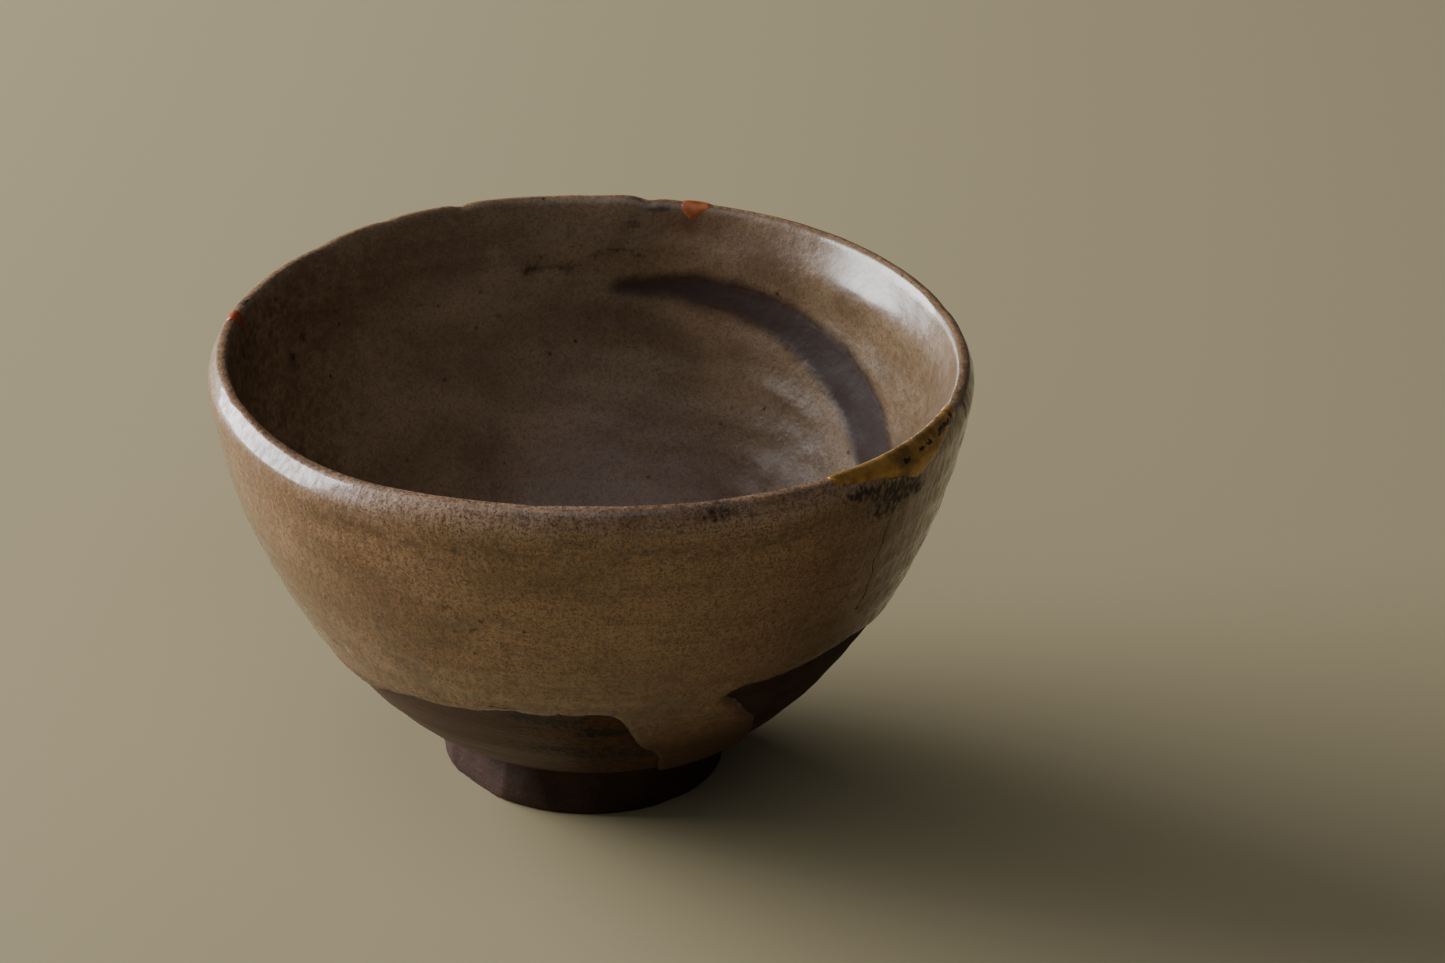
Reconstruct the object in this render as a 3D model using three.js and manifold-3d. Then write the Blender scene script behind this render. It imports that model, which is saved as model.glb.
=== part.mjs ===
// A matcha tea bowl: a thrown and pared stoneware body, a glaze coat outside and one inside, and the
// lacquer fills that mend its lip and a hairline crack.
// Millimetres, +Z up. The origin is the middle of the bowl on the surface that its foot ring stands on.
// Azimuths are in degrees from +X, turning towards +Y, and the bowl's front faces -Y.

import * as THREE from 'three';
import { mergeVertices } from 'three/addons/utils/BufferGeometryUtils.js';
import Module from 'manifold-3d';

const wasm = await Module();
wasm.setup();

// Driving dimensions.
const HEIGHT = 74;
const MOUTH_RADIUS = 59.8;
const FLOOR_HEIGHT = 13.2;
const FOOT_RADIUS = 23;
const FOOT_HEIGHT = 9;
const FOOT_RING_WIDTH = 4.2;
const RECESS_DEPTH = 6.8;
const RECESS_NUB = 1.2;
const GLAZE_THICKNESS = 0.5;
const LAYER_GAP = 0.15;
const FILL_GAP = 0.3;
const LIP_LEAN = [-0.5, -0.5];

const CLAY_DEPTH = GLAZE_THICKNESS + LAYER_GAP;
const AROUND = 52;
const AROUND_GLAZE_LINE = 288;
const STEPS_PER_POINT = 2;

// The finished surface as [radius, height]: up the outside from the waist above the foot, over the lip,
// and down the inside to the middle of the floor. CREST is the lip's place in the list.
const SKIN = [
  [FOOT_RADIUS + 1.4, FOOT_HEIGHT + 0.4],
  [30.5, 11.6],
  [39.5, 20],
  [46.7, 30],
  [52.2, 40],
  [56.2, 50],
  [59.2, 60],
  [61, 69],
  [60.8, 73],
  [MOUTH_RADIUS, HEIGHT],
  [58.4, 73],
  [57.4, 69],
  [54.4, 58],
  [50, 46],
  [43.6, 34],
  [36.6, 25],
  [28.5, 18.8],
  [16, 14.8],
  [0, FLOOR_HEIGHT],
];
const CREST = 9;

// The lower limit of the outer glaze around the bowl, as [azimuth, height].
const GLAZE_LINE = [
  [-180, 20],
  [-142, 25.5],
  [-120, 29.5],
  [-100, 32],
  [-84, 32.5],
  [-74, 22],
  [-64, 11.6],
  [0, 14],
  [60, 17],
  [120, 14],
  [180, 20],
];

// Shapes that pass through the wall, each seen square on from outside at its azimuth, as
// [across, height]. The bare ones are clay that the glaze missed, beside the foot and inside the bowl.
const ABOVE_LIP = HEIGHT + 4;
const SIDE_BARE = {
  azimuth: -30,
  outline: [[-25.5, 34.6], [-24.2, 36], [-14.7, 36.6], [-3, 37.8], [5, 37], [12, 34.2], [17, 29],
    [18.5, 23], [15, 15], [10, 11], [-3, 11], [-11.8, 22], [-17, 27.5], [-23, 32.4]],
};
const INSIDE_BARE = {
  azimuth: 50,
  outline: [[31, 59.4], [21, 62], [8, 60.6], [-10, 57.2], [-24, 51.5], [-32, 44], [-33.5, 38],
    [-29, 37.5], [-20, 43.5], [-9, 50], [6, 55.4], [22, 58.4]],
};
const FRONT_FILL = {
  azimuth: -32,
  outline: [[-19, ABOVE_LIP], [-17.5, 73], [-10, 71.8], [-4, 70.4], [1, 68.4], [6, 69.8], [11, 71.8],
    [16.5, 73], [18, ABOVE_LIP]],
};
const BACK_FILL = {
  azimuth: 75.2,
  outline: [[-3, ABOVE_LIP], [-2.6, 73], [-1.4, 71.6], [0.6, 70.8], [2, 72], [2.8, ABOVE_LIP]],
};
const LEFT_FILL = {
  azimuth: 170,
  outline: [[-1.9, ABOVE_LIP], [-1.5, 72.6], [0, 71.6], [1.5, 72.4], [2, ABOVE_LIP]],
};

// The middle line of the crack under the front fill, in the same terms.
const CRACK = {
  azimuth: -36,
  width: 0.5,
  path: [[1, 67.2], [-0.6, 64], [-1.2, 59], [-1.7, 55.5], [-0.4, 48.5]],
};

// The dips and rises of the hand-cut lip, as [azimuth, spread, height].
const LIP_WAVES = [[180, 42, -2.3], [-132, 24, -1.9], [-75, 34, 0.7], [50, 28, 0.8], [148, 18, -0.4]];

// Flats that the paring tool left on the foot, as [azimuth, depth of the cut].
const FOOT_FLATS = [[-140, 1.3], [-93, 0.6], [-48, 0.9], [12, 0.6], [70, 1], [128, 0.7]];

// Materials.

function material(color, roughness, metalness = 0) {
  return new THREE.MeshStandardMaterial({ color, roughness, metalness });
}

const CLAY = material(0x3a2a22, 0.85);
const OUTER_GLAZE = material(0x8a6a48, 0.3);
const INNER_GLAZE = material(0x6b5340, 0.25);
const FILL_PASTE = material(0x2a1a10, 0.5);
const FILL_GOLD = material(0xa8742c, 0.35, 0.8);
const RED_LACQUER = material(0xb0522a, 0.35);
const DARK_LACQUER = material(0x24160e, 0.4);

// Shapes.

// Turns a closed geometry into a manifold solid, leaving out triangles that close up at an axis.
function toSolid(geometry) {
  const bare = geometry.clone();
  bare.deleteAttribute('normal');
  bare.deleteAttribute('uv');
  const welded = mergeVertices(bare, 1e-4);
  const index = welded.index.array;
  const triangles = [];
  for (let i = 0; i < index.length; i += 3) {
    const [a, b, c] = [index[i], index[i + 1], index[i + 2]];
    if (a !== b && b !== c && c !== a) {
      triangles.push(a, b, c);
    }
  }
  return new wasm.Manifold(new wasm.Mesh({
    numProp: 3,
    vertProperties: new Float32Array(welded.attributes.position.array),
    triVerts: new Uint32Array(triangles),
  }));
}

// Turns a manifold solid back into a geometry.
function toGeometry(solid) {
  const mesh = solid.getMesh();
  const geometry = new THREE.BufferGeometry();
  geometry.setAttribute('position', new THREE.BufferAttribute(new Float32Array(mesh.vertProperties), 3));
  geometry.setIndex(new THREE.BufferAttribute(new Uint32Array(mesh.triVerts), 1));
  return geometry;
}

// Revolves a [radius, height] outline about Z. The outline runs with the solid on its left.
function revolve(outline, around = AROUND) {
  const profile = outline.map(([radius, height]) => new THREE.Vector2(radius, height));
  const geometry = new THREE.LatheGeometry(profile, around);
  geometry.rotateX(Math.PI / 2);
  return geometry;
}

// The stretch of the skin between two of its listed points, moved into the wall by a depth.
function skin(depth, first, last) {
  const curve = new THREE.SplineCurve(SKIN.map(([radius, height]) => new THREE.Vector2(radius, height)));
  const end = SKIN.length - 1;
  const outline = [];
  for (let step = Math.round(first * STEPS_PER_POINT); step <= last * STEPS_PER_POINT; step += 1) {
    const t = step / (end * STEPS_PER_POINT);
    const point = curve.getPoint(t);
    const along = t === 1 ? new THREE.Vector2(-1, 0) : curve.getTangent(t);
    outline.push([t === 1 ? 0 : point.x - along.y * depth, point.y + along.x * depth]);
  }
  return outline;
}

// A solid through the wall with an outline seen square on from outside at its azimuth.
function radialPrism({ azimuth, outline }) {
  const shape = new THREE.Shape(outline.map(([across, height]) => new THREE.Vector2(across, height)));
  const near = MOUTH_RADIUS * 0.4;
  const far = MOUTH_RADIUS * 1.3;
  const geometry = new THREE.ExtrudeGeometry(shape, { depth: far - near, bevelEnabled: false });
  geometry.translate(0, 0, near);
  geometry.rotateX(Math.PI / 2);
  geometry.rotateZ(THREE.MathUtils.degToRad(azimuth + 90));
  return toSolid(geometry);
}

// The same outline with its sides moved outwards to leave a gap around it. It runs anticlockwise.
function widened({ azimuth, outline }, gap) {
  const corners = outline.map(([across, height]) => new THREE.Vector2(across, height));
  const moved = corners.map((corner, i) => {
    const arriving = corner.clone().sub(corners.at(i - 1)).normalize();
    const leaving = corners[(i + 1) % corners.length].clone().sub(corner).normalize();
    const along = arriving.clone().add(leaving).normalize();
    const reach = gap / along.dot(arriving);
    return [corner.x + along.y * reach, corner.y - along.x * reach];
  });
  return { azimuth, outline: moved };
}

// A closed outline along both sides of the crack.
function crackOutline(width) {
  const half = width / 2;
  const right = CRACK.path.map(([across, height]) => [across + half, height]);
  const left = CRACK.path.map(([across, height]) => [across - half, height]);
  return { azimuth: CRACK.azimuth, outline: [...left.reverse(), ...right] };
}

// The glaze line's height at an azimuth, eased between its listed points.
function glazeLine(azimuth) {
  const next = GLAZE_LINE.findIndex(([at]) => at >= azimuth);
  const [toAt, to] = GLAZE_LINE[Math.max(1, next)];
  const [fromAt, from] = GLAZE_LINE[Math.max(1, next) - 1];
  return from + (to - from) * THREE.MathUtils.smoothstep(azimuth, fromAt, toAt);
}

// Everything around the foot up to the glaze line.
function belowGlaze() {
  const top = 1;
  const ring = [[15, 0], [80, 0], [80, top], [15, top], [15, 0]];
  const geometry = revolve(ring, AROUND_GLAZE_LINE);
  const position = geometry.attributes.position;
  for (let i = 0; i < position.count; i += 1) {
    if (position.getZ(i) > top / 2) {
      const azimuth = THREE.MathUtils.radToDeg(Math.atan2(position.getY(i), position.getX(i)));
      position.setZ(i, glazeLine(azimuth));
    }
  }
  return toSolid(geometry);
}

// How far the lip stands above or below its mean height at an azimuth.
function lipRise(azimuth) {
  const heights = LIP_WAVES.map(([at, spread, height]) => {
    const apart = THREE.MathUtils.euclideanModulo(azimuth - at + 180, 360) - 180;
    return height * Math.exp(-((apart / spread) ** 2));
  });
  return heights.reduce((sum, height) => sum + height, 0);
}

// The hand-made unevenness of the bowl: it leans a little as it rises, and its lip dips and rises.
function unevenness(geometry) {
  const position = geometry.attributes.position;
  for (let i = 0; i < position.count; i += 1) {
    const [x, y, z] = [position.getX(i), position.getY(i), position.getZ(i)];
    const rise = THREE.MathUtils.smoothstep(z, FOOT_HEIGHT, HEIGHT);
    const azimuth = THREE.MathUtils.radToDeg(Math.atan2(y, x));
    position.setXYZ(i, x + LIP_LEAN[0] * rise, y + LIP_LEAN[1] * rise, z + rise ** 2 * lipRise(azimuth));
  }
  return geometry;
}

// Sub-parts, before the unevenness.

const LAST = SKIN.length - 1;
const RING_INSIDE = FOOT_RADIUS - FOOT_RING_WIDTH;

// The clay: a foot ring around a recess with a small nub in its middle, and the wall under the glaze.
function clayBody() {
  const body = toSolid(revolve([
    [0, RECESS_DEPTH - RECESS_NUB],
    [6, RECESS_DEPTH - RECESS_NUB / 3],
    [11, RECESS_DEPTH],
    [RING_INSIDE - 1.6, RECESS_DEPTH - 0.4],
    [RING_INSIDE - 0.5, RECESS_DEPTH - 1.8],
    [RING_INSIDE, 0],
    [FOOT_RADIUS - 0.5, 0],
    [FOOT_RADIUS, 0.5],
    [FOOT_RADIUS + 0.3, FOOT_HEIGHT - 1.5],
    ...skin(CLAY_DEPTH, 0, LAST),
  ]));
  const flats = FOOT_FLATS.map(([azimuth, cut]) => {
    const thickness = 6;
    const box = new THREE.BoxGeometry(thickness, FOOT_RADIUS * 2, FOOT_HEIGHT);
    box.translate(FOOT_RADIUS + 0.3 - cut + thickness / 2, 0, FOOT_HEIGHT / 2 - 1);
    box.rotateZ(THREE.MathUtils.degToRad(azimuth));
    return toSolid(box);
  });
  return flats.reduce((solid, flat) => solid.subtract(flat), body);
}

// A coat over the whole of the outside, from the waist to the crest of the lip.
function outerCoat() {
  const face = skin(0, 0, CREST);
  return toSolid(revolve([...face, ...skin(GLAZE_THICKNESS, 0, CREST).reverse(), face[0]]));
}

// A coat over the whole of the inside, from just inside the crest to the middle of the floor.
function innerCoat() {
  const start = CREST + 1 / STEPS_PER_POINT;
  return toSolid(revolve([...skin(GLAZE_THICKNESS, start, LAST).reverse(), ...skin(0, start, LAST)]));
}

// The wall down to the waist, its surface moved in by a depth.
function wall(depth) {
  return toSolid(revolve([[0, FOOT_HEIGHT + 0.4 + depth], ...skin(depth, 0, LAST)]));
}

const clay = clayBody();
const repairs = [FRONT_FILL, BACK_FILL, LEFT_FILL];
const seats = repairs.map((fill) => radialPrism(widened(fill, FILL_GAP)));
const withoutSeats = (solid) => seats.reduce((rest, seat) => rest.subtract(seat), solid);

const outerGlaze = withoutSeats(outerCoat())
  .subtract(belowGlaze())
  .subtract(radialPrism(SIDE_BARE));
const frontFill = radialPrism(FRONT_FILL);

const solids = [
  ['stoneware_body', CLAY, withoutSeats(clay)],
  ['outer_glaze', OUTER_GLAZE, outerGlaze.subtract(radialPrism(crackOutline(CRACK.width + 2 * LAYER_GAP)))],
  ['inner_glaze', INNER_GLAZE, withoutSeats(innerCoat()).subtract(radialPrism(INSIDE_BARE))],
  ['front_fill_core', FILL_PASTE, clay.intersect(frontFill)],
  ['front_fill_gold', FILL_GOLD, wall(0).subtract(wall(GLAZE_THICKNESS)).intersect(frontFill)],
  ['back_fill', RED_LACQUER, wall(0).intersect(radialPrism(BACK_FILL))],
  ['left_fill', RED_LACQUER, wall(0).intersect(radialPrism(LEFT_FILL))],
  ['crack_seam', DARK_LACQUER, outerGlaze.intersect(radialPrism(crackOutline(CRACK.width)))],
];

const bowl = new THREE.Group();
bowl.name = 'matcha_bowl';
solids.forEach(([name, finish, solid]) => {
  const mesh = new THREE.Mesh(unevenness(toGeometry(solid)), finish);
  mesh.name = name;
  bowl.add(mesh);
});

export default bowl;
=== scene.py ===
"""A hand-thrown matcha bowl: a pared stoneware body, its glaze coats and its lacquer repairs.

Sizes are millimetres, heights run up from the surface that the foot stands on, azimuths are degrees
from +X turning towards +Y, and the bowl's front faces -Y. A mesh is turned into metres as it is made.
"""

import logging
import math
from dataclasses import dataclass, field
from enum import Enum
from typing import Callable, Sequence

import bmesh
import bpy
import numpy as np
from bmesh.types import BMesh
from bpy.types import Material, Node, NodeSocket, Object
from mathutils import Matrix, Vector, noise


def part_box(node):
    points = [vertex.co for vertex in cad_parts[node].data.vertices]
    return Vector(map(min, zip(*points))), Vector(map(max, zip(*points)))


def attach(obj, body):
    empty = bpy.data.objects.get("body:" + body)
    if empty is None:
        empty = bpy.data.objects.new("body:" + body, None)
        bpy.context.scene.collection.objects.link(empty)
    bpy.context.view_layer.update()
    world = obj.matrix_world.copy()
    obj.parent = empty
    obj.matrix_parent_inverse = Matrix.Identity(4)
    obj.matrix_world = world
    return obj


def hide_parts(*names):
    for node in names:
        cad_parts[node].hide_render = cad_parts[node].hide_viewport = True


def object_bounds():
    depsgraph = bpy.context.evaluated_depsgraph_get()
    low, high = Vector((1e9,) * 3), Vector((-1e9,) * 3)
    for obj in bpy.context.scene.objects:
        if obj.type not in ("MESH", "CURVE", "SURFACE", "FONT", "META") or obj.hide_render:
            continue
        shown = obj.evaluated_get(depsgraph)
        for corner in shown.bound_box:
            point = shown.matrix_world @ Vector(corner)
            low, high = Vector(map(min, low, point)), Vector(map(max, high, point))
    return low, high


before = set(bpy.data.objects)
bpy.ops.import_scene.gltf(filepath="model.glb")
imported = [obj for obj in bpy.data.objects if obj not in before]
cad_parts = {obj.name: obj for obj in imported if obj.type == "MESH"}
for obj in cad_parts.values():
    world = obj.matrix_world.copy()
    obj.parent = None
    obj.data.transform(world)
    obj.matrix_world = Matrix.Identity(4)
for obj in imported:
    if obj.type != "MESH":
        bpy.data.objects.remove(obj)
CAD_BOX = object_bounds()

LOG = logging.getLogger("matcha_bowl")
MILLIMETRE = 0.001
CAD_MIDDLE = (Vector(CAD_BOX[0]) + Vector(CAD_BOX[1])) / (2 * MILLIMETRE)
BODY = "root"
FAR = 1000.0
FULL_TURN = 360.0
Array = np.ndarray
Pairs = Sequence[tuple[float, float]]
Value = NodeSocket | float | tuple


class Slot(Enum):
    """The record's material slots."""

    CLAY = "clay"
    OUTER_GLAZE = "glaze_outside"
    INNER_GLAZE = "glaze_inside"
    PASTE = "lacquer_paste"
    GOLD = "gold_lacquer"
    RED = "red_lacquer"
    DARK = "dark_lacquer"


# Sums.


def ease(value: Array, low: float, high: float) -> Array:
    """Rises smoothly from 0 at low to 1 at high."""
    share = np.clip((value - low) / (high - low), 0.0, 1.0)
    return share * share * (3.0 - 2.0 * share)


def fall(value: Array, low: float, high: float) -> Array:
    """Falls smoothly from 1 at low to 0 at high."""
    return 1.0 - ease(value, low, high)


def bell(value: Array, middle: float, spread: float) -> Array:
    """A bell curve of height 1."""
    return np.exp(-(((value - middle) / spread) ** 2))


def apart(azimuth: Array, other: float) -> Array:
    """The turn from other to azimuth, from -180 to 180 degrees."""
    return (azimuth - other + 180.0) % 360.0 - 180.0


def mottle(points: Array, size: float, seed: float = 0.0) -> Array:
    """Smooth unevenness from -1 to 1.

    Args:
        points: Places, one row each.
        size: How broad its swellings are.
        seed: Another number gives another pattern.

    Returns:
        One value for each place.
    """
    return np.array([noise.noise(Vector(row)) for row in points / size + seed * 17.31])


def bearing(node: str) -> float:
    """The azimuth of the middle of a CAD node."""
    low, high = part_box(node)
    return math.degrees(math.atan2(low.y + high.y, low.x + high.x))


def ray(azimuth: float, elevation: float = 0.0) -> Vector:
    """The unit vector along an azimuth and an elevation."""
    turn, lift = math.radians(azimuth), math.radians(elevation)
    return Vector((math.cos(turn) * math.cos(lift), math.sin(turn) * math.cos(lift), math.sin(lift)))


# The form that every piece shares.


@dataclass(frozen=True)
class Skin:
    """The finished surface's line, as (radius, height), from the waist over the lip to the floor."""

    points: Pairs = (
        (24.4, 9.4), (30.5, 11.6), (39.5, 20.0), (46.7, 30.0), (52.2, 40.0), (56.2, 50.0), (59.2, 60.0),
        (61.0, 69.0), (60.8, 73.0), (59.8, 74.0), (58.4, 73.0), (57.4, 69.0), (54.4, 58.0), (50.0, 46.0),
        (43.6, 34.0), (36.6, 25.0), (28.5, 18.8), (16.0, 14.8), (0.0, 13.2),
    )
    crest: float = 9.0
    fine_steps: int = 900

    @property
    def top(self) -> tuple[float, float]:
        """The crest of the lip, as (radius, height)."""
        return self.points[int(self.crest)]

    @property
    def last(self) -> float:
        """The place of the floor's middle."""
        return float(len(self.points) - 1)

    def at(self, place: float) -> tuple[Vector, Vector]:
        """The line's point and direction at a place.

        Args:
            place: The number of a listed point, or a number between two.

        Returns:
            The point and the unit direction, each as (radius, height).
        """
        end = int(self.last)
        index = min(int(place), end - 1)
        share = place - index
        near = [Vector(self.points[min(max(index + step, 0), end)]) for step in (-1, 0, 1, 2)]
        leave = (near[2] - near[0]) / 2
        arrive = (near[3] - near[1]) / 2
        gap = near[2] - near[1]
        bend = 3 * gap - 2 * leave - arrive
        close = leave + arrive - 2 * gap
        point = near[1] + leave * share + bend * share**2 + close * share**3
        direction = leave + 2 * bend * share + 3 * close * share**2
        return point, direction.normalized()

    def line(self, depth: float, first: float, last: float, spacing: float) -> Pairs:
        """A stretch of the line, moved into the wall.

        Args:
            depth: How far it is moved in.
            first: Where the stretch starts.
            last: Where it ends.
            spacing: The distance between its points.

        Returns:
            Its points, as (radius, height).
        """
        fine = np.linspace(first, last, self.fine_steps)
        path = [self.at(place)[0] for place in fine]
        steps = [0.0] + [(b - a).length for a, b in zip(path, path[1:])]
        run = np.cumsum(steps)
        count = max(2, round(run[-1] / spacing))
        places = np.interp(np.linspace(0.0, run[-1], count + 1), run, fine)
        outline = []
        for place in places:
            point, direction = self.at(place)
            radius = 0.0 if place >= self.last - 1e-6 else max(point.x - direction.y * depth, 0.0)
            outline.append((radius, point.y + direction.x * depth))
        return outline


@dataclass(frozen=True)
class Mark:
    """A soft-edged mark on the surface.

    Fields: its azimuth and height, its half width and half height, its strength, and its tilt in degrees.
    """

    azimuth: float
    height: float
    half_width: float
    half_height: float
    strength: float = 1.0
    tilt: float = 0.0

    def weigh(self, places: "Places") -> Array:
        """How strongly it covers each place."""
        across = places.radius * np.radians(apart(places.azimuth, self.azimuth))
        up = places.height - self.height
        turn = math.radians(self.tilt)
        along = across * math.cos(turn) + up * math.sin(turn)
        over = up * math.cos(turn) - across * math.sin(turn)
        return self.strength * np.exp(-((along / self.half_width) ** 2) - (over / self.half_height) ** 2)


def marks(*rows: tuple[float, ...]) -> tuple[Mark, ...]:
    """Makes a mark from each row of its numbers."""
    return tuple(Mark(*row) for row in rows)


@dataclass(frozen=True)
class Outline:
    """A closed outline of (across, height) corners, seen square on from outside at its azimuth.

    Fields: the azimuth, the corners, and how many times the corners are cut off to round them.
    """

    azimuth: float
    corners: Pairs
    rounds: int = 0

    def path(self) -> list[Array]:
        """The corners after rounding."""
        corners = [np.array(corner) for corner in self.corners]
        for _ in range(self.rounds):
            pairs = zip(corners, corners[1:] + corners[:1])
            corners = [start + (end - start) * share for start, end in pairs for share in (0.25, 0.75)]
        return corners

    def inside(self, places: "Places") -> Array:
        """How far inside the outline each place is, and below zero outside it."""
        turn = np.radians(apart(places.azimuth, self.azimuth))
        seen = np.stack([places.radius * np.sin(turn), places.height], axis=1)
        distance = np.full(len(seen), FAR)
        within = np.zeros(len(seen), bool)
        path = self.path()
        for start, end in zip(path, path[1:] + path[:1]):
            side = end - start
            share = np.clip(((seen - start) @ side) / (side @ side), 0.0, 1.0)
            nearest = start + share[:, None] * side
            distance = np.minimum(distance, np.linalg.norm(seen - nearest, axis=1))
            rises = (start[1] > seen[:, 1]) != (end[1] > seen[:, 1])
            if side[1] != 0.0:
                crossing = start[0] + (seen[:, 1] - start[1]) * side[0] / side[1]
                within ^= rises & (seen[:, 0] < crossing)
        ahead = np.cos(turn) > 0.2
        return np.where(ahead, np.where(within, distance, -distance), -FAR)


@dataclass(frozen=True)
class Places:
    """Many points on the thrown form, before its unevenness."""

    points: Array
    radius: Array
    azimuth: Array
    height: Array
    outside: Array

    def facing(self, azimuth: float, spread: float) -> Array:
        """How nearly each place faces an azimuth, as a bell curve that many degrees wide."""
        return bell(apart(self.azimuth, azimuth), 0.0, spread)


@dataclass
class ThrownForm:
    """The form as the wheel and the hand left it: its lean, its wavy lip, its rings, dents and lumps.

    Fields: the skin, its lean, the heights of its waist and rim, where the roll and the bevel of the lip
    are strongest and how far they go, the lip's waves and nicks as (azimuth, spread, height), and the
    dents and lumps on each side. A Mark's strength there is a height.
    """

    skin: Skin = field(default_factory=Skin)
    lean: tuple[float, float] = (CAD_MIDDLE.x, CAD_MIDDLE.y)
    waist: float = 9.0
    rim: float = 74.0
    roll_azimuth: float = 35.0
    roll_height: float = 66.5
    bevel_azimuth: float = -142.0
    bevel_in: float = 1.3
    bevel_down: float = 0.65
    table_steps: int = 1200
    lip_waves: tuple[tuple[float, float, float], ...] = (
        (180, 42, -2.3), (-132, 24, -1.9), (-75, 34, 0.7), (50, 28, 0.8), (148, 18, -0.4),
    )
    lip_nicks: tuple[tuple[float, float, float], ...] = (
        (83.2, 1.5, -0.5), (87.0, 3.0, 0.25), (114.4, 1.4, -0.55), (-96.0, 2.2, -0.22), (-14.0, 1.6, -0.35),
        (20.0, 2.4, -0.25), (142.0, 3.0, -0.3), (-160.0, 2.6, -0.25), (128.0, 1.3, -0.25),
    )
    outer_dents: tuple[Mark, ...] = marks(
        (-109.7, 54.5, 0.9, 0.6, -0.55), (-111.0, 55.1, 1.1, 0.5, 0.25), (-139.0, 35.4, 1.3, 0.8, -0.5),
        (-108.0, 47.0, 7.0, 3.0, -0.25), (-60.0, 44.0, 9.0, 4.0, 0.25), (-130.0, 60.0, 8.0, 3.5, 0.22),
        (20.0, 50.0, 9.0, 4.0, -0.3), (95.0, 38.0, 10.0, 5.0, 0.3), (150.0, 52.0, 8.0, 5.0, -0.35),
        (70.0, 62.0, 7.0, 3.0, -0.2),
    )
    inner_dents: tuple[Mark, ...] = marks(
        (49.5, 34.6, 2.6, 1.9, 0.3, 20.0), (41.0, 39.4, 1.6, 1.0, 0.12),
        (52.0, 46.3, 6.0, 0.8, 0.25, 12.0), (100.0, 61.6, 4.6, 1.6, -0.25), (120.0, 45.0, 10.0, 4.0, 0.3),
        (-150.0, 50.0, 9.0, 4.0, 0.3), (-60.0, 48.0, 10.0, 5.0, -0.3), (10.0, 55.0, 7.0, 3.0, -0.2),
    )

    def __post_init__(self) -> None:
        """Tabulates the radius and the outward direction of each side."""
        outside, inside = [], []
        for place in np.linspace(0.0, self.skin.last, self.table_steps):
            point, direction = self.skin.at(place)
            row = (point.y, point.x, direction.y, -direction.x)
            (outside if place <= self.skin.crest else inside).append(row)
        self.outer = np.array(outside)
        self.inner = np.array(inside[::-1])
        self.inner[:, 0] = np.maximum.accumulate(self.inner[:, 0] + np.arange(len(inside)) * 1e-7)

    def places(self, points: Array) -> Places:
        """Reads where points lie on the form.

        Args:
            points: The points in millimetres, one row each.

        Returns:
            The same points with their radius, azimuth, height and side.
        """
        radius = np.hypot(points[:, 0], points[:, 1])
        azimuth = np.degrees(np.arctan2(points[:, 1], points[:, 0]))
        height = points[:, 2]
        outer = np.interp(height, self.outer[:, 0], self.outer[:, 1])
        inner = np.interp(height, self.inner[:, 0], self.inner[:, 1])
        return Places(points, radius, azimuth, height, radius > (outer + inner) / 2)

    def outward(self, places: Places) -> tuple[Array, Array]:
        """The direction away from the wall at each place, as its radial and its upward part."""
        radial = np.where(
            places.outside,
            np.interp(places.height, self.outer[:, 0], self.outer[:, 2]),
            np.interp(places.radius, self.inner[:, 1], self.inner[:, 2]),
        )
        upward = np.where(
            places.outside,
            np.interp(places.height, self.outer[:, 0], self.outer[:, 3]),
            np.interp(places.radius, self.inner[:, 1], self.inner[:, 3]),
        )
        return radial, upward

    def relief(self, places: Places) -> Array:
        """How far the throwing rings, dents and lumps stand out at each place."""
        points, radius, height = places.points, places.radius, places.height
        turns = places.azimuth / 360.0
        broad = mottle(points, 17.0, 1.0)
        wander = mottle(points, 9.0, 2.0)
        rings = 0.09 * np.sin(2 * math.pi * (height / 5.3 - turns) + 2.2 * broad)
        rings += 0.05 * np.sin(2 * math.pi * (height / 2.1 + turns) + 3.0 * wander)
        outer = rings * (0.7 + 0.5 * broad) + 0.2 * broad + 0.05 * wander
        spiral = radius / 6.1 + height / 9.0 - turns
        coils = 0.06 * np.sin(2 * math.pi * spiral + 2.4 * broad)
        inner = coils * (0.7 + 0.5 * wander) + 0.18 * broad + 0.06 * wander
        inner += 0.05 * mottle(points, 3.6, 7.0)
        outer += sum(dent.weigh(places) for dent in self.outer_dents)
        inner += sum(dent.weigh(places) for dent in self.inner_dents)
        from_rim = np.hypot(radius - self.skin.top[0], height - self.rim)
        calm = 0.4 + 0.6 * ease(from_rim, 1.0, 7.0)
        above_waist = np.where(places.outside, ease(height, self.waist, self.waist + 5.0), 1.0)
        return np.where(places.outside, outer, inner) * calm * above_waist

    def roll(self, places: Places) -> Array:
        """The thick roll under the inside of the lip."""
        strong = 0.3 + 0.9 * places.facing(self.roll_azimuth, 46.0)
        return np.where(places.outside, 0.0, strong * bell(places.height, self.roll_height, 4.0))

    def bevel(self, places: Places) -> tuple[Array, Array]:
        """The slope left by the potter's cloth round the lip, as shifts in radius and height."""
        strong = 0.3 + 0.65 * places.facing(self.bevel_azimuth, 40.0)
        crest = self.skin.top[0]
        near = np.where(places.outside, ease(places.height, 70.4, 73.7), bell(places.radius, crest, 1.6))
        over = np.where(places.outside, np.maximum(places.radius - crest, 0.0), 0.0)
        return -self.bevel_in * strong * near, -self.bevel_down * strong * near * over

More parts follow.
